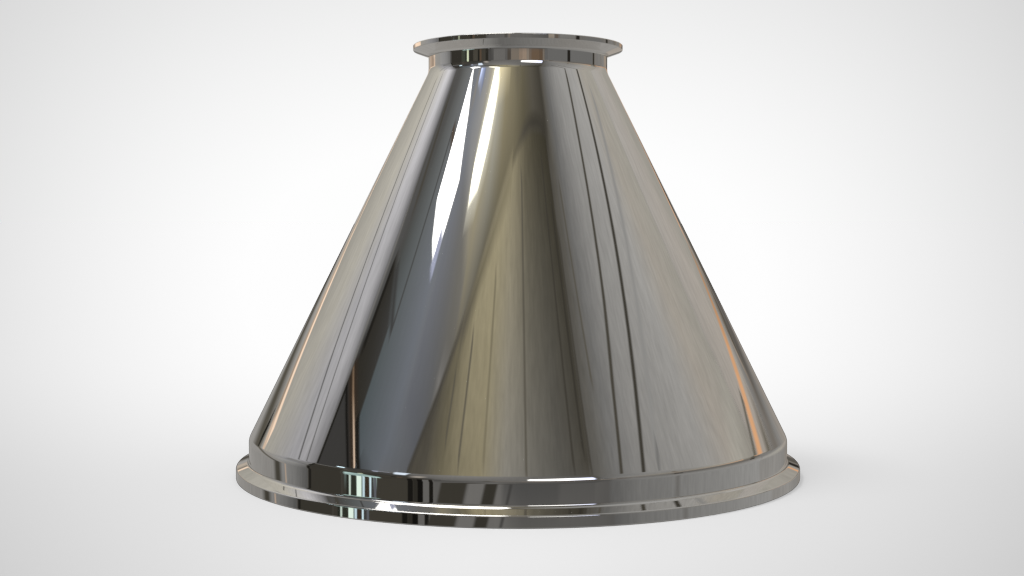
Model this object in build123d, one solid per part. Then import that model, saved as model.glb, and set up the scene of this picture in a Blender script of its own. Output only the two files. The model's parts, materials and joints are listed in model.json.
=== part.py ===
from build123d import *
import os
from math import isclose, radians, tan

# Concentric pipe reducer with a hygienic clamp ferrule at each end.
# A 12 inch tube end stands on the ground plane, a long cone narrows it to a 4 inch tube end,
# and all of it shares one axis. The real fitting is one piece of polished stainless steel,
# so the model is one solid, turned from a single closed section.
# Millimetres. +Z runs up the axis through the small end. The origin is the centre of the
# large end's sealing face.

# Tube ends: outside diameters and walls of the two tube sizes
LARGE_TUBE_OD = 304.8
LARGE_WALL = 2.77
SMALL_TUBE_OD = 101.6
SMALL_WALL = 2.11

# Lengths along the axis, between the corners where the straight outlines would cross
LARGE_END_LENGTH = 21.3
CONE_LENGTH = 205.6
SMALL_END_LENGTH = 15.3

# Cone: its wall is measured square to its surface
CONE_WALL = 2.77
SHOULDER_RADIUS = 8.0
NECK_RADIUS = 9.2

# Ferrules: how far each lip stands out from its tube, and how thick its rim is
LARGE_LIP = 7.2
LARGE_RIM = 5.9
SMALL_LIP = 8.66
SMALL_RIM = 2.8

# The clamp pulls on the sloping back of each lip
CLAMP_SLOPE_DEG = 20.0
LIP_ROOT_RADIUS = 1.6
RIM_CHAMFER = 0.4

# Gasket groove in each sealing face: sloping sides and a flat floor, its middle set in from
# the rim. The bores keep sharp mouths, so that they line up with the gasket's.
GROOVE_INSET = 4.3
GROOVE_WIDTH = 3.2
GROOVE_FLOOR = 1.4
GROOVE_DEPTH = 1.5

# Radii worked out from the tubes
large_r = LARGE_TUBE_OD / 2
small_r = SMALL_TUBE_OD / 2
large_bore_r = large_r - LARGE_WALL
small_bore_r = small_r - SMALL_WALL
large_rim_r = large_r + LARGE_LIP
small_rim_r = small_r + SMALL_LIP

# Heights worked out from the lengths
shoulder_z = LARGE_END_LENGTH
neck_z = shoulder_z + CONE_LENGTH
top_z = neck_z + SMALL_END_LENGTH
clamp_slope = tan(radians(CLAMP_SLOPE_DEG))
large_root_z = LARGE_RIM + LARGE_LIP * clamp_slope
small_root_z = top_z - SMALL_RIM - SMALL_LIP * clamp_slope

# The cone loses this much radius for each millimetre of height, inside and outside.
# Its inner line lies one wall in, and is followed until it crosses each bore.
cone_taper = (large_r - small_r) / CONE_LENGTH
level_cone_wall = CONE_WALL * (1 + cone_taper**2) ** 0.5


def inner_cone_height(bore_radius):
    """Height at which the cone's inner line has this radius."""
    return shoulder_z + (large_r - level_cone_wall - bore_radius) / cone_taper


def groove_corners(rim_radius, face_z, inwards):
    """The groove's four corners, from the bore's side to the rim's side.

    inwards is the way along the axis that leads into the steel, 1 or -1.
    """
    middle = rim_radius - GROOVE_INSET
    floor_z = face_z + inwards * GROOVE_DEPTH
    return [
        (middle - GROOVE_WIDTH / 2, face_z, 0),
        (middle - GROOVE_FLOOR / 2, floor_z, 0),
        (middle + GROOVE_FLOOR / 2, floor_z, 0),
        (middle + GROOVE_WIDTH / 2, face_z, 0),
    ]


# Corners of the section, as radius, height and rounding, anticlockwise from the large bore's
# mouth. Each inner bend is the outer one's radius, plus or less the wall of the cone.
outline = [
    (large_bore_r, 0, 0),
    *groove_corners(large_rim_r, 0, 1),
    (large_rim_r, 0, 0),
    (large_rim_r, LARGE_RIM, 0),
    (large_r, large_root_z, LIP_ROOT_RADIUS),
    (large_r, shoulder_z, SHOULDER_RADIUS),
    (small_r, neck_z, NECK_RADIUS),
    (small_r, small_root_z, LIP_ROOT_RADIUS),
    (small_rim_r, top_z - SMALL_RIM, 0),
    (small_rim_r, top_z, 0),
    *reversed(groove_corners(small_rim_r, top_z, -1)),
    (small_bore_r, top_z, 0),
    (small_bore_r, inner_cone_height(small_bore_r), NECK_RADIUS + CONE_WALL),
    (large_bore_r, inner_cone_height(large_bore_r), SHOULDER_RADIUS - CONE_WALL),
]

with BuildPart() as reducer:
    with BuildSketch(Plane.XZ) as section:
        with BuildLine():
            FilletPolyline(
                [(radius, height) for radius, height, _ in outline],
                radius=[rounding for _, _, rounding in outline],
                close=True,
            )
        make_face()
        for rim_radius in (large_rim_r, small_rim_r):
            rim_corners = section.vertices().filter_by(lambda corner: isclose(corner.X, rim_radius))
            chamfer(rim_corners, RIM_CHAMFER)
    revolve(axis=Axis.Z)

os.makedirs("parts", exist_ok=True)
reducer.part.label = "reducer_body"
export_step(reducer.part, "parts/reducer_body.step")

print(f"overall length {top_z:.2f}, large rim diameter {2 * large_rim_r:.2f}, "
      f"small rim diameter {2 * small_rim_r:.2f}")
print(f"volume {reducer.part.volume / 1000:.1f} cubic centimetres")
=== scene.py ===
# %% [markdown]
# # Concentric pipe reducer, polished stainless steel
# The real fitting is turned and polished from one piece of stainless steel: a wide clamp
# ferrule at the bottom, a long cone, and a narrow clamp ferrule at the top. Everything on it
# is round about one upright axis, so nearly all of its look is decided by two things: an
# exact section, and what the mirror-like steel has round it to reflect.
#
# The CAD solid comes in first, as a fixed frame. It gives every place and size, in metres.

# %% Load the CAD frame
import json
from math import acos, atan2, ceil, cos, degrees, pi, radians, sin, sqrt, tan

import bpy
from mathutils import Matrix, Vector

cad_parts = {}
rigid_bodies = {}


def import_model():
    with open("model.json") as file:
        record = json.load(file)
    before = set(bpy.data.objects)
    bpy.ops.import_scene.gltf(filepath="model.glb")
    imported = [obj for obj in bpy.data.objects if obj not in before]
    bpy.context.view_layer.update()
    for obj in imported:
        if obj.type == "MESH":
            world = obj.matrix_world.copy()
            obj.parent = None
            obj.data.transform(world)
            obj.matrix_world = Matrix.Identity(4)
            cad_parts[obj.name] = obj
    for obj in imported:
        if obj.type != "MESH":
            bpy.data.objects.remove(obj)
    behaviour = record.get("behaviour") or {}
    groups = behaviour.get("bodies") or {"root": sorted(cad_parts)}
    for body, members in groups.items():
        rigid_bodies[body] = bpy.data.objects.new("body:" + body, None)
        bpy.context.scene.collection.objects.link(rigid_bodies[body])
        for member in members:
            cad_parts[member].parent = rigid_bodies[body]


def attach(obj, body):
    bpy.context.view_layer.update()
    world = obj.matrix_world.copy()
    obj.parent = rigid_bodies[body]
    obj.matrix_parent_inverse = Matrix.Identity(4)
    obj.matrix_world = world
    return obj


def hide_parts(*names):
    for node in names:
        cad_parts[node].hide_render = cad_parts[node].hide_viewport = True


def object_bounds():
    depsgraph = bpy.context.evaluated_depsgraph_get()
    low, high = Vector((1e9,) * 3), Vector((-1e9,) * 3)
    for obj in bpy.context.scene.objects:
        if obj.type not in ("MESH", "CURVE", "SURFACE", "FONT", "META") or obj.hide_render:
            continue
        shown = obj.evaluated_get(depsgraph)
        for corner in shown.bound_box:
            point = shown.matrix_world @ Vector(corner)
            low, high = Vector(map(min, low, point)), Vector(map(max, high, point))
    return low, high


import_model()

cad_low, cad_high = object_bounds()
print("CAD box", [round(v, 4) for v in cad_low], [round(v, 4) for v in cad_high])

# %% [markdown]
# ## The camera
# The photograph was taken from about 0.8 m away and 143 mm above the ground, which is lower
# than the upper ferrule. So the camera looks slightly down at the wide end, and slightly up
# at the underside of the small lip. A 50 mm lens on a 36 mm sensor gives the same narrowing.

# %% Camera
CAMERA_DISTANCE = 0.8147
CAMERA_HEIGHT = 0.1434
CAMERA_TILT_DEG = 2.733
CAMERA_TURN_DEG = 0.235
LENS_MM, SENSOR_MM = 49.97, 36

camera_data = bpy.data.cameras.new("camera")
camera_data.lens = LENS_MM
camera_data.sensor_width = SENSOR_MM
camera_data.clip_start = 0.01
camera_data.clip_end = 500
camera = bpy.data.objects.new("camera", camera_data)
camera.location = (0, -CAMERA_DISTANCE, CAMERA_HEIGHT)
camera.rotation_euler = (radians(90 - CAMERA_TILT_DEG), 0, radians(CAMERA_TURN_DEG))
bpy.context.scene.collection.objects.link(camera)
bpy.context.scene.camera = camera
print("camera", tuple(round(v, 4) for v in camera.location))

# %% [markdown]
# ## The section
# A lathe cuts this shape from one outline, and so does this script. The outline is written as
# corners, each with a radius, a height and a rounding. The main sizes are the CAD model's.
# The CAD solid keeps flat chamfers and sharp groove corners, because each small rounding costs
# it a thousand facets. Here those edges get the tiny radii that polishing leaves on real steel,
# because a bright line along each edge is how the eye reads a crisp edge.

# %% Sizes of the section, in metres
LARGE_R, LARGE_BORE_R = 0.1524, 0.14963
SMALL_R, SMALL_BORE_R = 0.0508, 0.04869
SHOULDER_Z, NECK_Z, TOP_Z = 0.0213, 0.2269, 0.2422
LARGE_RIM_R, SMALL_RIM_R = cad_high.x, 0.05946
LARGE_RIM, SMALL_RIM = 0.0059, 0.0028
CLAMP_SLOPE_DEG = 19.45
CONE_WALL = 0.00277
SHOULDER_BEND, NECK_BEND = 0.008, 0.0092
LIP_ROOT = 0.0019
# Roundings of the rims, of the large rim's upper edge, and of the grooves and bore mouths
EDGE, SOFT_EDGE, FINE_EDGE = 0.00042, 0.0009, 0.00012
GROOVE_INSET, GROOVE_WIDTH, GROOVE_FLOOR, GROOVE_DEPTH = 0.0043, 0.0032, 0.0014, 0.0015

CLAMP_SLOPE = tan(radians(CLAMP_SLOPE_DEG))
CONE_TAPER = (LARGE_R - SMALL_R) / (NECK_Z - SHOULDER_Z)
LEVEL_WALL = CONE_WALL * sqrt(1 + CONE_TAPER ** 2)


def inner_cone_z(bore_r):
    """Height at which the inside line of the cone has this radius."""
    return SHOULDER_Z + (LARGE_R - LEVEL_WALL - bore_r) / CONE_TAPER


def groove(rim_r, face_z, inwards):
    """Corners of the gasket groove in a sealing face, from the bore's side outwards."""
    middle = rim_r - GROOVE_INSET
    floor_z = face_z + inwards * GROOVE_DEPTH
    return [
        (middle - GROOVE_WIDTH / 2, face_z, FINE_EDGE, 2, 1),
        (middle - GROOVE_FLOOR / 2, floor_z, FINE_EDGE, 2, 1),
        (middle + GROOVE_FLOOR / 2, floor_z, FINE_EDGE, 2, 1),
        (middle + GROOVE_WIDTH / 2, face_z, FINE_EDGE, 2, 1),
    ]


# Radius, height, rounding, steps in the rounding, steps in the straight run that leads to it
outline = [
    (LARGE_BORE_R, 0, FINE_EDGE, 2, 1),
    *groove(LARGE_RIM_R, 0, 1),
    (LARGE_RIM_R, 0, EDGE, 6, 1),
    (LARGE_RIM_R, LARGE_RIM, SOFT_EDGE, 8, 2),
    (LARGE_R, LARGE_RIM + (LARGE_RIM_R - LARGE_R) * CLAMP_SLOPE, LIP_ROOT, 9, 2),
    (LARGE_R, SHOULDER_Z, SHOULDER_BEND, 14, 3),
    (SMALL_R, NECK_Z, NECK_BEND, 14, 24),
    (SMALL_R, TOP_Z - SMALL_RIM - (SMALL_RIM_R - SMALL_R) * CLAMP_SLOPE, LIP_ROOT, 9, 2),
    (SMALL_RIM_R, TOP_Z - SMALL_RIM, EDGE, 6, 2),
    (SMALL_RIM_R, TOP_Z, EDGE, 6, 1),
    *reversed(groove(SMALL_RIM_R, TOP_Z, -1)),
    (SMALL_BORE_R, TOP_Z, FINE_EDGE, 2, 1),
    (SMALL_BORE_R, inner_cone_z(SMALL_BORE_R), NECK_BEND + CONE_WALL, 12, 3),
    (LARGE_BORE_R, inner_cone_z(LARGE_BORE_R), SHOULDER_BEND - CONE_WALL, 10, 14),
]
print(f"{len(outline)} corners, cone {degrees(atan2(CONE_TAPER, 1)):.2f} degrees from upright")

# %% [markdown]
# ## Turning the body
# There are two ways to make a turned shape by hand: stack rings and scale them, or draw the
# half section and spin it. Spinning is chosen because each bend is then a true arc: a single
# vertex is extruded along each straight run, and spun about the bend's own centre at each
# corner, exactly as a lathe tool would travel. The finished section is spun a full turn about
# the axis, and its seam is merged.


# %% Helpers for drawing the section
def deselect_all():
    """An operator acts on all that is selected, and the CAD nodes come in selected."""
    bpy.ops.object.select_all(action="DESELECT")


def corner_arc(before, corner, after, rounding):
    """Where the rounding of a corner starts and ends, its centre, and its signed turn."""
    to_before = (Vector(before) - Vector(corner)).normalized()
    to_after = (Vector(after) - Vector(corner)).normalized()
    opening = acos(max(-1, min(1, to_before.dot(to_after))))
    tangent = rounding / tan(opening / 2)
    start = Vector(corner) + to_before * tangent
    end = Vector(corner) + to_after * tangent
    middle = (to_before + to_after).normalized()
    centre = Vector(corner) + middle * (rounding / sin(opening / 2))
    side = to_before.x * to_after.y - to_before.y * to_after.x
    turn = (pi - opening) * (1 if side > 0 else -1)
    return start, centre, end, turn


def extrude_to(here, target, steps):
    """Extrude the selected vertex in equal steps along a straight run."""
    step = (target - here) / steps
    for _ in range(steps):
        bpy.ops.mesh.extrude_region_move(
            TRANSFORM_OT_translate={"value": (step.x, 0, step.y)})


# %% Draw the section and spin it
AROUND = 480
LAST_RUN_STEPS = 4
SAME_POINT = 2e-6

arcs = []
for i, (radius, height, rounding, *_) in enumerate(outline):
    before, after = outline[i - 1][:2], outline[(i + 1) % len(outline)][:2]
    arcs.append(corner_arc(before, (radius, height), after, rounding))

deselect_all()
first = arcs[0][0]
bpy.ops.mesh.primitive_plane_add(size=0.001, location=(first.x, 0, first.y))
body = bpy.context.object
body.name = "polished_reducer"
body.data.name = "polished_reducer"
bpy.ops.object.transform_apply(location=True, rotation=True, scale=True)
bpy.ops.object.mode_set(mode="EDIT")
bpy.ops.mesh.select_all(action="SELECT")
bpy.ops.mesh.merge(type="CENTER")

place = first
for (start, centre, end, turn), (*_, bend_steps, run_steps) in zip(arcs, outline):
    if (start - place).length > 1e-7:
        extrude_to(place, start, run_steps)
    bpy.ops.mesh.spin(steps=bend_steps, angle=turn, center=(centre.x, 0, centre.y),
                      axis=(0, -1, 0))
    place = end
extrude_to(place, first, LAST_RUN_STEPS)

bpy.ops.mesh.select_all(action="SELECT")
bpy.ops.mesh.remove_doubles(threshold=SAME_POINT)
bpy.ops.object.mode_set(mode="OBJECT")
print(f"section: {len(body.data.vertices)} points, {len(body.data.edges)} edges")

bpy.ops.object.mode_set(mode="EDIT")
bpy.ops.mesh.select_all(action="SELECT")
bpy.ops.mesh.spin(steps=AROUND, angle=2 * pi, center=(0, 0, 0), axis=(0, 0, 1))
bpy.ops.mesh.select_all(action="SELECT")
bpy.ops.mesh.remove_doubles(threshold=SAME_POINT)
bpy.ops.mesh.normals_make_consistent(inside=False)
bpy.ops.mesh.select_all(action="DESELECT")
bpy.ops.object.mode_set(mode="OBJECT")

low = [min(v.co[k] for v in body.data.vertices) for k in range(3)]
high = [max(v.co[k] for v in body.data.vertices) for k in range(3)]
print(f"body: {len(body.data.polygons)} faces", [round(v, 5) for v in low + high])

# %% Shade the body
# Faces meet smoothly along the bends, and stay crisp where the section really has a corner.
# The weighted normals let the broad cone and tube walls decide, so that the narrow facets of a
# bend don't tilt the mirror beside them. Areas here are in square metres, so the difference
# that counts has to be tiny, or all faces would weigh the same.
CORNER_DEG = 28
SAME_AREA = 1e-7

bpy.ops.object.shade_smooth_by_angle(angle=radians(CORNER_DEG))
weighted = body.modifiers.new("weighted", "WEIGHTED_NORMAL")
weighted.mode = "FACE_AREA"
weighted.weight = 100
weighted.thresh = SAME_AREA
weighted.keep_sharp = True
bpy.ops.object.modifier_apply(modifier=weighted.name)

# %% [markdown]
# ## Nodes by expression
# Three small classes keep the materials readable. `Number` wraps a socket, and Python's own
# signs add its Math nodes. `Nodes` is a node tree, with one method that adds any other node.
# `Finish` is such a tree round the shader of a material.


# %% Number, Nodes and Finish
class Number:
    """A value that varies over a surface."""

    def __init__(self, tree, socket):
        self.tree, self.socket = tree, socket

    def math(self, operation, first, second=None):
        node = self.tree.nodes.new("ShaderNodeMath")
        node.operation = operation
        for slot, value in zip(node.inputs, (first, second)):
            if isinstance(value, Number):
                self.tree.links.new(value.socket, slot)
            elif value is not None:
                slot.default_value = value
        return Number(self.tree, node.outputs[0])

    def __add__(self, other): return self.math("ADD", self, other)
    def __radd__(self, other): return self.math("ADD", other, self)
    def __sub__(self, other): return self.math("SUBTRACT", self, other)
    def __rsub__(self, other): return self.math("SUBTRACT", other, self)
    def __mul__(self, other): return self.math("MULTIPLY", self, other)
    def __rmul__(self, other): return self.math("MULTIPLY", other, self)
    def __pow__(self, other): return self.math("POWER", self, other)
    def root(self): return self.math("SQRT", self)
    def wave(self): return self.math("SINE", self)
    def size(self): return self.math("ABSOLUTE", self)
    def fading(self): return self.math("EXPONENT", 0 - self)
    def at_most(self, other): return self.math("MINIMUM", self, other)


class Nodes:
    """A node tree, with one method that adds any node and joins its inputs by name."""

    def __init__(self, tree):
        self.tree = tree

    def node(self, kind, settings=None, output=0, **inputs):
        node = self.tree.nodes.new("ShaderNode" + kind)
        for key, value in (settings or {}).items():
            setattr(node, key, value)
        for key, value in inputs.items():
            name = key.replace("_", " ")
            slot = node.inputs[int(key[2:])] if key.startswith("in") and key[2:].isdigit() \
                else node.inputs[name]
            self.feed(slot, value)
        return Number(self.tree, node.outputs[output]) if len(node.outputs) else node

    def feed(self, slot, value):
        if isinstance(value, Number):
            self.tree.links.new(value.socket, slot)
        else:
            slot.default_value = value


class Finish(Nodes):
    """A material built round one Principled shader."""

    def __init__(self, name):
        self.material = bpy.data.materials.new(name)
        self.material.use_nodes = True
        super().__init__(self.material.node_tree)
        self.shader = next(n for n in self.tree.nodes if n.type == "BSDF_PRINCIPLED")

    def set(self, **inputs):
        for key, value in inputs.items():
            self.feed(self.shader.inputs[key.replace("_", " ")], value)

    def place(self):
        """Position on the object, as three numbers in metres."""
        coords = self.tree.nodes.new("ShaderNodeTexCoord")
        split = self.tree.nodes.new("ShaderNodeSeparateXYZ")
        self.tree.links.new(coords.outputs["Object"], split.inputs[0])
        return [Number(self.tree, s) for s in split.outputs], \
            Number(self.tree, coords.outputs["Object"])


# %% [markdown]
# ## The steel
# Stainless tube for food and drug plants is polished until it mirrors the room. Bare metal has
# no colour of its own: the base colour is how much of each colour it throws back, about 0.85,
# slightly warm. The roughness is near zero, but never even, because buffing leaves faint
# clouds. The sealing faces are left as the lathe cuts them, with fine rings, because a gasket
# seals better on them. The bore is polished with a softer wheel that reaches inside.

# %% Steel finishes
STEEL = (0.86, 0.85, 0.835)
CLOUDED = 0.015
RING_RATE = 16000
RING_DEPTH = 8e-7


def mirror_steel(name, roughness, clouds, ring_depth=0.0):
    """Steel whose tone and roughness cloud a little, and which may have the lathe's rings.

    A ring's wave is 2 pi / RING_RATE long, about 0.4 mm.
    """
    darker, lighter = ([part * (1 + change) for part in STEEL] for change in (-CLOUDED, CLOUDED))
    finish = Finish(name)
    (x, y, z), position = finish.place()
    cloud = finish.node("TexNoise", {"noise_dimensions": "3D"}, Vector=position, Scale=22.0,
                        Detail=3.0, Roughness=0.55)
    tone = finish.node("Mix", {"data_type": "RGBA"}, output=2, in0=cloud,
                       in6=(*darker, 1), in7=(*lighter, 1))
    finish.set(Metallic=1.0, Base_Color=tone, Roughness=roughness + cloud * clouds)
    if ring_depth:
        rings = ((x * x + y * y).root() * RING_RATE + z * RING_RATE).wave()
        bump = finish.node("Bump", Strength=0.5, Distance=ring_depth, Height=rings)
        finish.set(Normal=bump)
    return finish.material


# %% Which finish each face gets
OUTSIDE, BORE, SEALING_FACE = range(3)
body.data.materials.append(mirror_steel("mirror_polish", 0.012, 0.016))
body.data.materials.append(mirror_steel("bore_polish", 0.05, 0.05))
body.data.materials.append(mirror_steel("turned_face", 0.16, 0.08, RING_DEPTH))


def within(value):
    """The number itself, or the nearest one from 0 to 1."""
    return max(0, min(1, value))


def on_sealing_face(radius, height):
    """Between a bore and its rim, on the flat face or in its groove."""
    reach = GROOVE_DEPTH + 1e-5
    if height < reach:
        return LARGE_BORE_R + FINE_EDGE < radius < LARGE_RIM_R - EDGE
    if height > TOP_Z - reach:
        return SMALL_BORE_R + FINE_EDGE < radius < SMALL_RIM_R - EDGE
    return False


def in_bore(radius, height, outward):
    """Turned towards the axis, and not past the middle of the wall by more than 2 mm."""
    up_cone = within((height - SHOULDER_Z) / (NECK_Z - SHOULDER_Z))
    wall_middle = LARGE_R - LEVEL_WALL / 2 - up_cone * (LARGE_R - SMALL_R)
    return outward < 0 and radius < wall_middle + 0.002


finish_counts = [0, 0, 0]
for polygon in body.data.polygons:
    c, n = polygon.center, polygon.normal
    radius = sqrt(c.x ** 2 + c.y ** 2)
    if on_sealing_face(radius, c.z):
        finish = SEALING_FACE
    elif in_bore(radius, c.z, n.x * c.x + n.y * c.y):
        finish = BORE
    else:
        finish = OUTSIDE
    polygon.material_index = finish
    finish_counts[finish] += 1
print(f"{finish_counts[BORE]} faces in the bore,",
      f"{finish_counts[SEALING_FACE]} on the sealing faces")

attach(body, "root")
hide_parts("reducer_body")

# %% [markdown]
# ## What the steel reflects
# A mirror shows only its surroundings, so a studio photographer surrounds polished steel with
# flats: pale cards, dark flags, strips and small lamps. The photograph's flats stand like a
# room: a buff wall in front, a grey one on the right with two dark rails, a pale one on the
# left with a dark opening, bright windows, and two long warm lamps. Here each of them is a card
# that glows, about 50 m off. A card is given by the directions of its corners as the reducer
# sees them: an angle to the right of the camera, and an angle above the ground. Its tones are
# the tones that the steel shows, from 0 to 255, so they are divided by the steel's own colour.
# Only mirror reflections see the cards. The floor and the camera don't.

# %% Tones, as the steel shows them
def glow(red, green, blue, gain=1.0):
    """Light that a card needs, for the steel to show this sRGB tone, or gain times its light."""
    linear = [((v / 255 + 0.055) / 1.055) ** 2.4 if v > 10 else v / 255 / 12.92
              for v in (red, green, blue)]
    return Vector(gain * v / steel for v, steel in zip(linear, STEEL))


def paint(red, green, blue):
    """A paint, as a function that gives its tone at any brightness from 0 to 255."""
    return lambda level, gain=1.0: glow(level * red, level * green, level * blue, gain)


neutral = paint(1.0, 0.99, 0.97)
pearl = paint(1.0, 0.99, 1.0)
chalk = paint(1.0, 0.98, 0.95)
sand = paint(1.0, 0.95, 0.89)
stone = paint(1.0, 0.975, 0.915)
clay = paint(1.0, 0.92, 0.83)
buff = paint(1.0, 0.94, 0.765)
umber = paint(1.0, 0.95, 0.84)
copper = paint(1.0, 0.88, 0.77)
brown = paint(1.0, 0.83, 0.67)
rust = paint(1.0, 0.76, 0.56)
slate = paint(0.93, 0.95, 1.0)
lilac = paint(0.87, 0.89, 1.0)
azure = paint(0.8, 0.85, 1.0)
mint = paint(0.87, 1.0, 0.97)
haze = paint(0.87, 0.965, 1.0)
pane = paint(0.9, 0.945, 1.0)
leaf = paint(0.93, 1.0, 0.94)
lime = paint(0.96, 1.0, 0.85)
cream = paint(1.0, 0.98, 0.90)

SUN = neutral(255, 4)
LAMP = cream(255, 3)


# %% [markdown]
# ## How a card is made
# Each card is a curved sheet on a sphere round the reducer, cut into small faces, with its tone
# stored at each point. A border of see-through points all round gives it a soft edge. A card
# that comes later stands a little nearer, so it covers the ones before it. Plastered walls get
# clouds in their tone, and lamps and windows hardly any.

# %% What a card glows with
def card_light(name, mottling):
    """A finish that glows in the colours stored on a card, more or less mottled."""
    finish = Finish(name)
    _, place = finish.place()
    tone = finish.node("Attribute", {"attribute_name": "glow"}, output="Color")
    cover = finish.node("Attribute", {"attribute_name": "glow"}, output="Alpha")
    cloud = finish.node("TexNoise", {"noise_dimensions": "3D"}, Vector=place, Scale=0.9,
                        Detail=7.0, Roughness=0.7)
    mottled = finish.node("VectorMath", {"operation": "SCALE"}, in0=tone,
                          Scale=cloud * mottling + (1 - mottling / 2))
    finish.set(Base_Color=(0, 0, 0, 1), Specular_IOR_Level=0.0, Roughness=1.0,
               Emission_Color=mottled, Emission_Strength=1.0, Alpha=cover)
    finish.material.cycles.emission_sampling = "NONE"
    return finish.material


smooth_light = card_light("smooth_card_light", 0.12)
plaster_light = card_light("plaster_card_light", 0.6)
# How the names of the plastered cards start
PLASTERED = ("right_", "front_wall", "buff_wall", "pale_", "back_", "floor_")

# %% The points of a card
FACE_WIDTH_DEG, FACE_HEIGHT_DEG = 3, 4


def towards(azimuth, elevation):
    """Unit vector: azimuth 0 points at the camera's side, and grows to the right."""
    a, e = radians(azimuth), radians(elevation)
    return Vector((sin(a) * cos(e), -cos(a) * cos(e), sin(e)))


def angle(p, q):
    """Degrees between two directions, and never none, so that it can divide."""
    return max(0.05, degrees(p.angle(q)))


def border(soft, size):
    """How far a soft edge reaches out of a card, and into it, as shares of the card's size."""
    return soft / 2 / size, min(soft / 2 / size, 0.49)


def card_columns(low, high, soft):
    """From left to right: the span between two directions, the place in it, and the cover."""
    columns = []
    last = len(low) - 2
    for k in range(last + 1):
        wide = max(angle(low[k], low[k + 1]), angle(high[k], high[k + 1]))
        out, fade = border(soft, wide)
        steps = max(2, ceil(wide / FACE_WIDTH_DEG))
        start = fade if k == 0 else 0.0
        stop = 1 - fade if k == last else 1.0
        inner = [start + (stop - start) * i / steps for i in range(steps + 1)]
        if k == 0:
            columns.append((k, -out, 0.0))
        columns += [(k, t, 1.0) for t in (inner if k == 0 else inner[1:])]
        if k == last:
            columns.append((k, 1 + out, 0.0))
    return columns


def card_rows(tall, count, soft):
    """From bottom to top: the place in the card's height, and the cover."""
    out, fade = border(soft, tall)
    inner = [(fade + (1 - 2 * fade) * i / count, 1.0) for i in range(count + 1)]
    return [(-out, 0.0), *inner, (1 + out, 0.0)]


# %% A card, a strip and an upright flat
CARD_DISTANCE = 50.0
LAYER = 0.08

cards = []


def card(name, lower, upper, tones, soft=1.0, distance=None):
    """A glowing card between a lower and an upper line of directions, with faded edges.

    Its tones are one for all, or one for each direction, or a lower and an upper one for each.
    """
    low = [towards(*p) for p in lower]
    high = [towards(*p) for p in upper]
    if isinstance(tones, Vector):
        tones = [tones] * len(low)
    tones = [t if isinstance(t, tuple) else (t, t) for t in tones]
    distance = distance or CARD_DISTANCE - LAYER * len(cards)
    columns = card_columns(low, high, soft)
    tallest = max(angle(p, q) for p, q in zip(low, high))
    inner_rows = max(2, ceil(tallest / FACE_HEIGHT_DEG))
    points, colours = [], []
    for k, t, cover_u in columns:
        bottom = low[k].lerp(low[k + 1], t)
        top = high[k].lerp(high[k + 1], t)
        tone_low = tones[k][0].lerp(tones[k + 1][0], within(t))
        tone_high = tones[k][1].lerp(tones[k + 1][1], within(t))
        for v, cover_v in card_rows(angle(bottom, top), inner_rows, soft):
            points.append(bottom.lerp(top, v).normalized() * distance)
            colours.append([*tone_low.lerp(tone_high, within(v)), cover_u * cover_v])
    rows = inner_rows + 3
    quads = [(c * rows + r, (c + 1) * rows + r, (c + 1) * rows + r + 1, c * rows + r + 1)
             for c in range(len(columns) - 1) for r in range(rows - 1)]
    mesh = bpy.data.meshes.new(name)
    mesh.from_pydata(points, [], quads)
    layer = mesh.color_attributes.new("glow", "FLOAT_COLOR", "POINT")
    layer.data.foreach_set("color", [v for colour in colours for v in colour])
    for polygon in mesh.polygons:
        polygon.use_smooth = True
    mesh.materials.append(plaster_light if name.startswith(PLASTERED) else smooth_light)
    made = bpy.data.objects.new(name, mesh)
    bpy.context.scene.collection.objects.link(made)
    only_mirrored(made)
    cards.append(made)


def only_mirrored(thing):
    """The thing is seen in mirror reflections, and by nothing else."""
    thing.visible_camera = thing.visible_diffuse = thing.visible_shadow = False
    thing.visible_transmission = thing.visible_volume_scatter = False


def strip(name, path, width, tone, soft=0.8, distance=None):
    """A long thin card of even width that follows a path of directions."""
    points = [towards(*p) for p in path]
    half = radians(width) / 2
    lower, upper = [], []
    for i, point in enumerate(points):
        along = points[min(i + 1, len(points) - 1)] - points[max(i - 1, 0)]
        across = point.cross(along).normalized() * half
        for side, sign in ((lower, -1), (upper, 1)):
            p = (point + across * sign).normalized()
            elevation = atan2(p.z, sqrt(p.x ** 2 + p.y ** 2))
            side.append((degrees(atan2(p.x, -p.y)), degrees(elevation)))
    card(name, lower, upper, tone, soft, distance)


def upright(name, left, right, bottom, top, tone, soft=0.5, lean=0.0):
    """An upright card between two azimuths, whose top may lean to one side."""
    card(name, [(left, bottom), (right, bottom)], [(left + lean, top), (right + lean, top)],
         tone, soft)


def level_line(azimuths, elevation):
    """A level line of directions, for a card's lower or upper edge."""
    return [(azimuth, elevation) for azimuth in azimuths]


# %% The shell behind all cards
ROOM_RADIUS = 60

deselect_all()
bpy.ops.mesh.primitive_uv_sphere_add(segments=64, ring_count=32, radius=ROOM_RADIUS)
shell = bpy.context.object
shell.name = "studio_shell"
bpy.ops.object.shade_smooth()
shell_finish = Finish("shell_light")
(_, _, height), _ = shell_finish.place()
rise = shell_finish.node("MapRange", {"interpolation_type": "SMOOTHSTEP"}, Value=height,
                         From_Min=-ROOM_RADIUS / 2, From_Max=ROOM_RADIUS / 2,
                         To_Min=0.0, To_Max=1.0)
shell_tone = shell_finish.node("Mix", {"data_type": "RGBA"}, output=2, in0=rise,
                               in6=(*chalk(124), 1), in7=(*chalk(138), 1))
shell_finish.set(Base_Color=(0, 0, 0, 1), Specular_IOR_Level=0.0, Roughness=1.0,
                 Emission_Color=shell_tone, Emission_Strength=1.0)
shell_finish.material.cycles.emission_sampling = "NONE"
shell.data.materials.append(shell_finish.material)
only_mirrored(shell)

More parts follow.
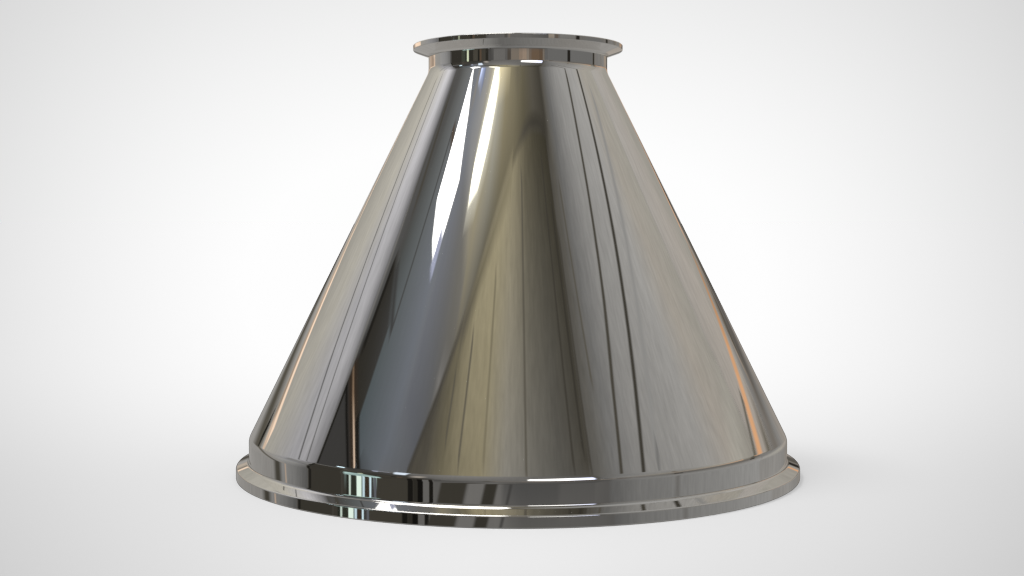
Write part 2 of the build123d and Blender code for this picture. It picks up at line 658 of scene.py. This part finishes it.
# %% [markdown]
# ## The front half of the room
# The cone leans back by 26 degrees, so the middle of it mirrors what stands twice as high,
# about 52 degrees above the ground: the top of the front wall, the ceiling and its lamps.
# Towards its edges it mirrors things that stand lower. The cards come in this order: the
# floor, the grey wall on the right, the ceiling, the front wall, and the pale wall on the left.

# %% The room's floor, pale, all round
FLOOR_ROUND = (-175, -120, -76, -50, -27, 5, 35, 70, 104, 140, 175)
card("floor_light", level_line(FLOOR_ROUND, -80), level_line(FLOOR_ROUND, -13),
     [chalk(150), chalk(150), chalk(150), neutral(136), neutral(106), neutral(116), neutral(125),
      chalk(132), chalk(138), chalk(142), chalk(146)], soft=3)
upright("floor_mark", -54.4, -53.4, -50, -42, chalk(78), soft=0.8)

# %% Right-hand wall, grey
RIGHT_FOOT = (34, 40, 50, 72, 96, 121)
card("right_foot", level_line(RIGHT_FOOT, -15), level_line(RIGHT_FOOT, 1),
     [(neutral(85), neutral(85)), (neutral(94), neutral(100)), (neutral(108), neutral(120)),
      (neutral(118), neutral(132)), (neutral(130), neutral(138)),
      (neutral(140), neutral(150))], soft=2)
RIGHT_BASE = (34, 46, 72, 96, 121)
card("right_base", level_line(RIGHT_BASE, -1), level_line(RIGHT_BASE, 11),
     [(neutral(82), neutral(84)), (neutral(118), sand(104)), (neutral(128), sand(90)),
      (chalk(137), sand(94)), (chalk(150), sand(98))], soft=2)
card("right_wall", level_line((30, 38, 46, 60, 74, 90, 104, 121), 16),
     [(30, 60), (38, 60), (46, 60), (60, 60), (74, 60), (90, 56), (104, 50), (121, 40)],
     [(neutral(82), umber(60)), (neutral(110), umber(80)), (neutral(122), neutral(100)),
      (chalk(128), neutral(143)), (chalk(126), neutral(160)), (chalk(142), neutral(168)),
      (sand(156), stone(164)), (stone(148), stone(165))], soft=2)
card("right_shade", level_line((34, 46, 60, 72, 90, 104, 121), 9),
     [(34, 19), (46, 19), (60, 19), (72, 20), (90, 22), (104, 21), (121, 18)],
     [(neutral(84), neutral(96)), (sand(106), neutral(132)), (sand(108), stone(132)),
      (sand(88), stone(132)), (sand(94), stone(160)), (clay(94), stone(170)),
      (clay(94), stone(158))], soft=2)
strip("rail_high", [(47.3, 37.0), (53, 40.4), (60, 42.9), (72, 46.6), (79.5, 47.8)], 0.95,
      umber(69), soft=0.5)
strip("rail_low", [(57.6, 35.1), (62, 36.6), (70, 38.6), (80, 40.3), (91, 41.4), (98.7, 41.9)],
      0.95, umber(60), soft=0.5)
strip("rail_faint", [(66, 34.2), (78, 36.3), (92, 37.4), (108, 36.8)], 0.7, neutral(138),
      soft=1.0)
strip("right_knot", [(65.6, 33.7), (68.4, 34.2)], 0.6, neutral(112), soft=0.7)
upright("right_smudge", 112.4, 116.4, 8, 14.5, umber(88), soft=1.8, lean=1.5)
upright("right_streak", 66.8, 68.8, 10, 22, clay(110), soft=1.6)
upright("right_foot_streak", 66.4, 68.4, -14, -5, chalk(108), soft=1.4)

# %% Ceiling and skylight
card("ceiling", [(-107, 40), (-97, 34), (-82, 30), (-64, 30), (-50, 34), (-38, 43), (-28, 49),
                 (-18, 52), (-6, 54), (8, 55), (22, 55), (37, 53)],
     [(-107, 56), (-97, 56), (-82, 57), (-64, 59), (-50, 59), (-38, 59), (-28, 60), (-18, 60),
      (-6, 61), (8, 61), (22, 61), (37, 60)],
     [(umber(90), neutral(99)), (umber(64), neutral(99)), (haze(84), neutral(122)),
      (pane(102), slate(140)), (slate(74), neutral(164)), (neutral(82), buff(198)),
      (buff(80), cream(206)), (buff(100), buff(160)), (buff(106), buff(136)),
      (buff(82), buff(110)), (umber(78), umber(96)), (umber(60), umber(66))], soft=2)
card("ceiling_shade", [(-60, 37.5), (-50, 37.5), (-44, 38), (-39, 41)],
     [(-60, 49.6), (-50, 49.2), (-44, 48.4), (-40, 47.6)],
     [(slate(104), slate(130)), (slate(92), neutral(112)), (neutral(84), stone(113)),
      (umber(84), stone(118))], soft=1.8)
card("ceiling_far", [(-107, 56), (-50, 58), (0, 59), (60, 58), (120, 40)],
     [(-107, 88), (-50, 88), (0, 88), (60, 88), (120, 88)],
     [neutral(115), neutral(110), umber(92), neutral(140), neutral(160)], soft=4)
card("skylight", [(-90, 55), (-78, 55), (-62, 55.2), (-54, 55.6), (-48, 57), (-40, 58.8),
                  (-30, 60), (-20, 60.5), (-10.5, 61.5)],
     [(-90, 82), (-78, 83), (-62, 84), (-54, 84), (-48, 84), (-40, 84), (-30, 84), (-20, 83),
      (-10.5, 82)], SUN, soft=1.5)

# %% Front wall, buff below the ceiling's edge, with the joints of its boards
FRONT_FOOT = (-34, -20, -8, 2, 20, 32, 37)
card("front_foot", level_line(FRONT_FOOT, -15), level_line(FRONT_FOOT, 9),
     [(chalk(94), chalk(60)), (chalk(94), chalk(80)), (chalk(106), chalk(88)),
      (chalk(88), chalk(82)), (chalk(92), chalk(78)), (chalk(92), chalk(66)),
      (chalk(86), chalk(80))], soft=1.5)
upright("front_foot_shade", 0, 32, -9.8, -4, neutral(73), soft=3.4)
upright("front_foot_smudge", -5.5, 17, -10.6, -9.4, neutral(73), soft=3)
FRONT_WALL = (-46, -30, -18, -6, 8, 20, 34)
card("front_wall", level_line(FRONT_WALL, 7), level_line(FRONT_WALL, 43),
     [(chalk(66), chalk(114)), (chalk(94), chalk(124)), (chalk(98), chalk(126)),
      (chalk(100), chalk(117)), (chalk(102), chalk(100)), (chalk(96), chalk(90)),
      (chalk(84), umber(76))], soft=2)
WALL_EDGE = [(-52, 36.6), (-44, 41.7), (-36, 46.0), (-28, 49.5), (-18, 52.6), (-6, 55.0),
             (8, 56.1), (20, 55.9), (34, 54.3)]
card("buff_wall", [(-52, 34), (-44, 36), (-36, 38.5), (-28, 40.0), (-18, 40.6), (-6, 41.0),
                   (8, 41.2), (20, 40.8), (34, 40.2)], WALL_EDGE,
     [(umber(80), umber(74)), (umber(84), umber(74)), (buff(104), buff(108)),
      (buff(126), buff(152)), (buff(134), buff(158)), (stone(132), buff(146)),
      (stone(106), buff(95)), (stone(88), buff(72)), (umber(68), buff(56))], soft=1.0)
strip("wall_edge_shade", [(azimuth, edge - 0.5) for azimuth, edge in WALL_EDGE[2:6]], 0.9,
      [umber(88), buff(110), buff(128), buff(134)], soft=1.4)
strip("wall_edge_left", WALL_EDGE[:3], 0.35, [umber(66), umber(66), umber(88)], soft=0.8)
strip("wall_edge_right", WALL_EDGE[5:], 0.3,
      [buff(108), umber(76), umber(62), umber(60)], soft=0.8)
for name, azimuth, low, high, width, tone in (
        ("joint_a", -36, 41, 44, 0.3, umber(86)), ("joint_b", -28.5, 41, 46.5, 0.4, umber(88)),
        ("joint_c", -16.5, 42, 50, 0.5, buff(118)), ("joint_d", 4, 42, 54.5, 0.6, umber(86)),
        ("joint_e", 26.6, 41, 54, 0.4, umber(60)), ("joint_f", 32, 41, 51.5, 0.5, umber(54)),
        ("joint_g", 34.6, 40, 50, 0.4, umber(66)), ("joint_h", 41.8, 42.5, 51, 0.4, umber(84))):
    strip(name, [(azimuth, low), (azimuth, high)], width, tone, soft=0.8)

# %% Left-hand wall, pale, with two lines across it
card("pale_wall_foot", level_line((-172, -150, -124, -113, -104, -95), -15),
     [(-172, 9), (-150, 9), (-124, 9), (-113, 9), (-104, 10), (-95, 10)],
     [(chalk(154), chalk(150)), (chalk(137), chalk(150)), (chalk(130), chalk(146)),
      (neutral(118), neutral(154)), (neutral(106), neutral(144)),
      (neutral(66), neutral(118))], soft=2)
card("pale_wall_top", level_line((-150, -130, -112, -104, -97), 26),
     [(-150, 30), (-130, 40), (-114, 46), (-107.5, 44), (-101, 41)],
     [(stone(176), stone(178)), (stone(184), stone(204)), (pearl(168), pearl(238)),
      (pearl(174), pearl(140)), (pearl(118), pearl(94))], soft=1)
card("pale_wall", level_line((-172, -150, -130, -112, -104, -96), 7),
     [(-172, 22), (-150, 29), (-130, 28), (-112, 28), (-104, 28), (-96, 28)],
     [(stone(146), stone(164)), (stone(150), stone(178)), (stone(156), stone(186)),
      (pearl(132), pearl(172)), (pearl(120), pearl(174)), (pearl(92), pearl(116))], soft=2)
upright("wall_low_shade", -112, -96, 10, 16, neutral(122), soft=2)
card("wall_shadow", [(-97, 27), (-93, 27)], [(-101.5, 43), (-92, 43)],
     [(neutral(80), neutral(84)), (neutral(70), neutral(80))], soft=4)
card("wall_spot", [(-98.5, 39.8), (-93, 36.4)], [(-98, 41.4), (-92.8, 37.8)], umber(70), soft=1.6)
strip("wall_line_low", [(-131, 27.8), (-124.7, 26.2), (-113.3, 22.1), (-106, 19.8), (-102, 18.8)],
      0.5, neutral(74), soft=0.5)
strip("wall_line_high",
      [(-123, 31.6), (-116.7, 29.1), (-110, 26.3), (-102.4, 22.2), (-99.2, 20.4)],
      0.45, neutral(88), soft=0.45)

# %% Opening in the left wall, with its lintel
upright("opening", -95.3, -75.5, -15, 20, umber(54), soft=1.0)
upright("opening_head", -96.2, -75.5, 21, 30.4, chalk(58), soft=1.0)
card("annex", [(-76, 9), (-60, 9), (-44, 9)], [(-76, 31), (-62, 33), (-47, 36)],
     [(umber(78), neutral(40)), (umber(42), neutral(80)), (umber(56), neutral(84))], soft=2)
card("annex_top", [(-66, 28), (-44, 29)], [(-66, 33), (-47, 36)], neutral(102), soft=3)
upright("annex_foot", -76, -34, -15, 11, umber(57), soft=1.5)
upright("opening_jamb", -94.6, -93.2, -15, 18, umber(31), soft=0.5)
upright("opening_jamb_top", -96.1, -95.1, 18, 28, umber(32), soft=0.5)
card("soffit", [(-95, 29.0), (-82.5, 30.4)], [(-94.8, 34.4), (-82.5, 35.2)],
     [umber(46), (umber(48), neutral(62))], soft=0.8)
upright("soffit_post", -95, -93.3, 30, 34, umber(32), soft=0.8)
LINTEL = [(-96, 28.5), (-90, 29.4), (-82, 30.3), (-76.5, 30.6)]
strip("lintel_shade", LINTEL, 1.1, brown(50), soft=0.5)
strip("lintel_shadow", [(azimuth, edge - 0.8) for azimuth, edge in LINTEL], 0.3, umber(22),
      soft=0.25)
strip("lintel", [(azimuth, edge + 0.05) for azimuth, edge in LINTEL], 0.19,
      [brown(112), brown(140), copper(215), copper(236)], soft=0.17)
strip("header", [(-83.5, 30.7), (-76.5, 31.1), (-71, 31.3)], 0.5, umber(30), soft=0.3)
strip("duct_edge", [(-80, 35.5), (-80, 45)], 0.5, neutral(66), soft=0.7)
strip("duct_foot", [(-91, 35.1), (-80, 35.7)], 0.5, neutral(60), soft=0.6)
strip("duct_top", [(-80, 45), (-76, 45.4)], 0.5, brown(80), soft=0.7)

# %% [markdown]
# ## What the tube ends and the lips show
# The wide tube end mirrors a narrow band just below the horizon, and the neck one just above
# it. Each is a row of upright flats, from left to right, with small gaps between them.

# %% Garden light in the opening, and the flats near the floor
card("garden_light", [(-74, -10), (-66, -10), (-56, -10)], [(-74, 7), (-66, 6), (-57, 0)],
     [(mint(118), mint(228)), (mint(160), mint(170)), (mint(255, 1.2), mint(66))], soft=1.5)
LOW_FLATS = (
    (-73.3, -72.2, lime(40)), (-72.0, -71.1, leaf(205)), (-70.7, -68.5, lime(48)),
    (-68.1, -65.8, leaf(240)), (-65.7, -65.3, mint(150)), (-65.2, -64.2, haze(218)),
    (-64.0, -62.1, brown(58)), (-61.9, -61.1, haze(235)), (-60.9, -60.0, neutral(62)),
    (-59.8, -58.7, slate(97)), (-58.4, -45.0, umber(60)), (-44.6, -42.4, umber(24)),
    (-42.2, -40.3, umber(44)), (-40.4, -38.2, umber(18)), (-38.1, -35.6, chalk(97)),
    (-35.4, -33.9, umber(25)))
for i, (left, right, tone) in enumerate(LOW_FLATS):
    upright(f"low_flat_{i}", left, right, -15, -7.5 if left < -45 else 3, tone, soft=0.3)
for i, (left, right, tone) in enumerate((
        (-32.2, -21.6, umber(56)), (-20.8, -14.6, chalk(106)), (-14.3, -9.3, umber(52)),
        (-4.4, -3.6, chalk(60)))):
    upright(f"leaning_flat_{i}", left - 9, right - 9, -15, -6, tone, soft=1.1, lean=20)

# %% The flats at the height of the neck, and just above them at the small rim's
NECK_FLATS = (
    (-96, -93, chalk(84)), (-93.5, -76, umber(50)), (-75.8, -71.4, lime(64)),
    (-71.4, -67.8, lime(52)), (-67.4, -64.8, lime(222)), (-64.3, -58.5, umber(46)),
    (-58, -51.8, umber(70)), (-51.6, -49.3, umber(36)), (-49.1, -46.6, brown(86)),
    (-46.4, -41.2, umber(64)), (-41, -37.6, umber(42)), (-37.4, -33.4, chalk(72)),
    (-30.5, -16, chalk(103)), (-13, -8.8, clay(76)), (-8.4, 1.4, clay(117)),
    (1.4, 5.6, copper(134)), (5.6, 11, copper(144)), (11, 14, clay(130)), (14, 17, copper(108)),
    (17, 27, brown(102)), (27, 31.3, brown(93)), (31.4, 33.6, clay(117)),
    (33.8, 38, neutral(95)), (38, 66, neutral(101)), (69.5, 110, neutral(104)))
NECK_BARS = ((65.4, 69.8, umber(36)), (110.6, 114.4, umber(50)))
for i, (left, right, tone) in enumerate(NECK_FLATS):
    upright(f"neck_flat_{i}", left, right, 5.6, 7.2, tone, soft=0.4)
for i, (left, right, tone) in enumerate(NECK_BARS):
    upright(f"neck_bar_{i}", left, right, 5.6, 8.8, tone, soft=0.6)
for i, (left, right, tone) in enumerate((
        (-67, -65, lime(190)), (-52, -49.8, umber(30)), (-49.4, -47, brown(90)),
        (-14, -11, umber(70)), (-10, -8, clay(122)), (33, 39.5, clay(158)), (40.5, 44, brown(92)),
        (46, 64, neutral(120)))):
    upright(f"rim_flat_{i}", left, right, 7.5, 8.8, tone, soft=0.8)

# %% [markdown]
# ## The far half of the room
# The edges of the cone and of the neck mirror what lies behind the reducer. A skirting and a
# copper-coloured rail run along each side wall. The rails are so near, about 6 m, that they
# stand two degrees lower in the neck's mirror than in the cone's.

# %% Far walls and their skirtings
NEAR = 6.0
card("back_foot", level_line((119, 135, 150, 160, 172), -15),
     [(119, 9), (135, 9), (150, 8.5), (160, 8), (172, 6)],
     [(chalk(138), chalk(116)), (chalk(143), chalk(124)), (chalk(132), chalk(124)),
      (sand(133), sand(116)), (sand(166), sand(156))], soft=1.5)
card("back_wall", [(121, 11), (135, 9), (150, 8), (172, 6)],
     [(121, 40), (135, 40), (150, 36), (172, 36)],
     [(sand(150), chalk(176)), (sand(165), chalk(167)), (stone(150), stone(162)),
      (sand(146), stone(160))], soft=2)
card("back_floor", level_line((119, 140, 150, 162), -6), [(119, 1), (140, 1), (150, 0), (162, -2)],
     [chalk(152), stone(160), sand(156), sand(150)], soft=5)
strip("right_skirting", [(130, 7.5), (140, 6.0), (150, 4.8), (163, 2.3), (173, -2)], 2.4,
      [sand(112), sand(114), sand(88), sand(88), sand(80)], soft=2.0, distance=NEAR)
strip("left_skirting", [(-173, -2.0), (-165, 1.4), (-155, 2.2), (-148, 3.4), (-139, 5.0)], 3.4,
      [umber(74), umber(74), umber(80), umber(80), umber(86)], soft=2.4)
strip("left_skirting_turn", [(-140, 5.4), (-133, 2.4), (-125.5, -3), (-120, -8), (-116.4, -11),
                            (-112, -15)], 3.4,
      [umber(92), umber(90), umber(88), umber(72), umber(64), umber(64)], soft=2)
card("back_light", [(168, 4.5), (192, 4.5)], [(168, 20), (192, 20)], sand(194), soft=3)

# %% A copper-coloured rail on each side wall
strip("right_rail_shade", [(121.5, 10.6), (130, 9.8), (137, 9.0)], 1.1,
      [umber(96), umber(100), sand(138)], soft=1.3, distance=NEAR)
strip("right_rail_along", [(38, 14.5), (62, 15), (90, 15), (108, 14.2)], 1.5,
      [chalk(124), sand(146), copper(180), rust(228)], soft=1.0)
strip("right_rail", [(116, 13.9), (121.5, 13.3), (130, 12.4), (143.3, 10.5), (153, 9.3)], 1.15,
      [rust(214), rust(214), rust(214), rust(190), brown(150)], soft=0.6, distance=NEAR)
strip("right_rail_edge", [(115, 15.3), (122, 14.5), (128, 13.5)], 0.4, umber(96), soft=0.5,
      distance=NEAR)
strip("right_rail_far", [(154, 9.6), (162, 10.2), (170, 10.4)], 1.0, rust(215), soft=0.5,
      distance=NEAR)
strip("right_dark_patch", [(146, 7.0), (155, 6.0)], 1.8, umber(76), soft=2, distance=NEAR)
strip("right_dark_far", [(160, 6.8), (170, 7.0)], 2.2, umber(40), soft=0.8)
upright("right_neck_glow", 144.5, 158, 5.4, 7.4, clay(148), soft=0.8)
strip("right_olive_far", [(158, 3.6), (172, 2.4)], 3.6, umber(84), soft=1.5)
strip("left_rail_under", [(-131.6, 8.1), (-135.4, 8.2), (-137.4, 8.2), (-143, 8.4), (-149, 8.5),
                          (-157, 8.3)], 1.0,
      [copper(205), copper(205), copper(152), copper(158), copper(178), copper(172)], soft=0.4,
      distance=NEAR)
strip("left_rail", [(-132, 9.2), (-140, 9.4), (-149, 9.6), (-157, 9.4)], 1.1,
      [copper(240), copper(246), copper(250), clay(180)], soft=0.4, distance=NEAR)
strip("left_rail_glow", [(-150, 8.0), (-165, 7.0)], 1.6, clay(178), soft=2.0, distance=NEAR)
strip("left_rail_turn", [(-132, 8.2), (-124, 3), (-116.2, -3), (-109, -10.7), (-104.5, -15)], 0.6,
      [clay(164), clay(146), clay(136), copper(180), rust(196)], soft=0.6, distance=NEAR)
upright("left_knob", -142, -139.8, 4.9, 6.5, umber(28), soft=0.7)
strip("left_rail_far", [(-153, 9.6), (-161, 10.4), (-170, 10.6)], 0.8, copper(246), soft=0.4,
      distance=NEAR)
strip("left_rail_shade", [(-154, 8.5), (-161, 9.2), (-170, 9.4)], 0.5, brown(115), soft=0.4,
      distance=NEAR)

# %% [markdown]
# ## Windows and lamps
# The brightest things come last, so nothing covers them. They make the steel look polished:
# most are far brighter than white, and all but the halos have crisp edges.

# %% Windows and lamps
card("window_left", [(-75.3, 43.2), (-70, 42.9), (-64.0, 43.1)],
     [(-75.4, 49.0), (-66, 49.2), (-59.6, 47.9)], SUN, soft=0.6)
upright("window_shade", -66, -63.2, 42.6, 44.8, lilac(186), soft=0.6, lean=1)
upright("window_gap", -65.4, -62.2, 50, 57, chalk(132), soft=1.5)
card("window_small", [(-61.8, 51.9), (-59.4, 52.2), (-54.8, 52.6)],
     [(-61.8, 54.5), (-59.4, 54.7), (-54.8, 55)],
     [azure(255, 1.8), azure(215), azure(140)], soft=0.8)
card("lamp_halo", [(-46, 49.0), (-40, 50.4), (-34.5, 53.0), (-28.5, 56.4)],
     [(-48, 50.8), (-44.5, 54), (-40.5, 56.3), (-34.5, 59.5)], cream(212), soft=1.8)
card("lamp_long", [(-46, 49.6), (-40, 51.2), (-35, 53.9), (-29.5, 57.1)],
     [(-47.4, 50.6), (-44.3, 53.3), (-40.5, 55.4), (-34, 58.8)], LAMP, soft=0.8)
card("lamp_second", [(-33, 56.0), (-25, 57.0), (-12, 58.2)], [(-33, 60.5), (-25, 61), (-12, 61.5)],
     [buff(244), buff(216), buff(168)], soft=1.6)
card("window_front_glow", [(4, 22), (17, 22), (31, 20)], [(4, 26), (17, 26.5), (31, 27)],
     [chalk(126), chalk(142), lilac(178)], soft=3)
card("window_front", [(4.2, 13.2), (17, 10.8), (31.3, 11.6)], [(4.2, 22), (17, 24), (31.3, 23.5)],
     [neutral(255, 2), neutral(255, 2), lilac(255, 2)], soft=1.3)
card("window_narrow", [(-53, 23), (-47.6, 22.6)], [(-57, 35.4), (-49.4, 35.4)],
     [pane(240), pane(250)], soft=1.4)
card("window_slit", [(-81.5, 21), (-79, 21)], [(-82.5, 28), (-79.8, 28)],
     [(haze(74), haze(92)), (haze(72), haze(90))], soft=1.2)
card("window_spark", [(-84.2, 25.4), (-79.8, 25.4)], [(-84.2, 27.3), (-79.8, 27.3)],
     haze(255, 2.5), soft=0.4)
card("annex_slit", [(-64, 26), (-62, 26)], [(-67.2, 31.0), (-63.6, 31.6)],
     [(slate(120), lilac(200)), (slate(120), lilac(215))], soft=0.7)
strip("annex_line", [(-65, 30.6), (-57, 29.6)], 0.8, lilac(205), soft=0.6)
card("far_lamp", [(-43.5, 12.5), (-38.5, 12.5)], [(-43.5, 22), (-38.5, 22)], sand(158), soft=3)

print(f"{len(cards)} cards and flags")

# %% [markdown]
# ## Floor, backdrop and soft light
# The floor and the backdrop are one pale sheet without a visible join. The floor only takes
# the shadow, and shows the backdrop's own tone, which is brightest behind the reducer and
# falls off gently, as one soft lamp above the camera makes it. In the photograph it also falls
# off to the sides. Directions outside the photograph keep the middle's brightness, so that the
# backdrop is as pale from every other side.

# %% Floor
deselect_all()
bpy.ops.mesh.primitive_circle_add(vertices=96, radius=ROOM_RADIUS, fill_type="NGON",
                                  location=(0, 0, 0))
floor = bpy.context.object
floor.name = "floor"
floor_finish = Finish("pale_floor")
floor_finish.set(Base_Color=(0.8, 0.8, 0.8, 1), Roughness=1.0, Specular_IOR_Level=0.0)
floor.data.materials.append(floor_finish.material)
floor.visible_glossy = False
floor.is_shadow_catcher = True

# %% Backdrop and soft light from all round
# Tones are linear here. Places and sizes are parts of a direction of length 1.
FLOOR_TONE, WALL_TONE, WHITE = 0.362, 0.415, 0.99
POOL_TONE, POOL_X, POOL_Z = 0.625, -0.011, -0.045
POOL_FALL_SIDEWAYS, POOL_FALL_UPWARDS, POOL_SHARPNESS, POOL_FALL_END = 2.35, 2.95, 2.85, 0.9
SPOT_TONE, SPOT_X, SPOT_FALL, SPOT_SHADE = 0.062, -0.03, 7.5, 0.01

world = bpy.data.worlds.new("backdrop")
bpy.context.scene.world = world
world.use_nodes = True
world.node_tree.nodes.clear()
sky = Nodes(world.node_tree)

direction = sky.node("TexCoord", output="Generated")
side, ahead, rise = (sky.node("SeparateXYZ", output=axis, Vector=direction) for axis in "XYZ")


def ramp(value, start, stop, first=0.0, last=1.0):
    """A smooth step from the first tone to the last, while the value goes from start to stop."""
    return sky.node("MapRange", {"interpolation_type": "SMOOTHSTEP"}, Value=value,
                    From_Min=start, From_Max=stop, To_Min=first, To_Max=last)


across = side * ramp(ahead, 0.78, 0.89)
sheet = ramp(rise, -0.18, -0.09, FLOOR_TONE, WALL_TONE)
out_sideways = (across - POOL_X).size() * POOL_FALL_SIDEWAYS
out_upwards = ((rise - POOL_Z) * POOL_FALL_UPWARDS).size().at_most(POOL_FALL_END)
pool = (out_sideways ** POOL_SHARPNESS + out_upwards * out_upwards).fading() * POOL_TONE
near = ramp(rise, -0.24, -0.16, 1.0, 0.0)
# A painted pool of light on the floor in front of the reducer, with a little painted shade to each
# side of it.
floor_spot = (((across - SPOT_X) * SPOT_FALL) ** 2).fading() * SPOT_TONE - SPOT_SHADE
backdrop_tone = (sheet + pool + near * floor_spot).at_most(WHITE)
seen = sky.node("Background", Color=backdrop_tone, Strength=1.0)
plain = sky.node("Background", Color=(0.95, 0.95, 0.95, 1), Strength=0.9)
by_camera = sky.node("LightPath", output="Is Camera Ray")
picked = sky.node("MixShader", in0=by_camera, in1=plain, in2=seen)
sky.node("OutputWorld", Surface=picked)


def soft_lamp(name, azimuth, elevation, distance, size, watts):
    """A square soft box aimed at the reducer, unseen in its mirror."""
    lamp = bpy.data.lights.new(name, "AREA")
    lamp.shape = "SQUARE"
    lamp.size = size
    lamp.energy = watts
    thing = bpy.data.objects.new(name, lamp)
    thing.location = towards(azimuth, elevation) * distance
    thing.rotation_euler = (-thing.location).to_track_quat("-Z", "Y").to_euler()
    thing.visible_glossy = False
    bpy.context.scene.collection.objects.link(thing)


# %% Lamps: one key from the upper left, a weak fill from the right
soft_lamp("key_softbox", -82, 67, 2.5, 0.8, 48)
soft_lamp("fill_softbox", 118, 30, 2.5, 2.0, 5)

# A shadowless lamp from straight above thins all the shadows, as pale walls all round would.
even = bpy.data.lights.new("even_fill", "SUN")
even.energy = 3.5
even.use_shadow = False
even_fill = bpy.data.objects.new("even_fill", even)
even_fill.visible_glossy = False
bpy.context.scene.collection.objects.link(even_fill)

# %% [markdown]
# ## Picture settings
# The tones above are screen tones, so the view must not bend them: the plain sRGB view is set.

# %% View and render settings
scene = bpy.context.scene
scene.view_settings.view_transform = "Standard"
scene.cycles.transparent_max_bounces = 32
scene.cycles.caustics_reflective = False
scene.cycles.caustics_refractive = False
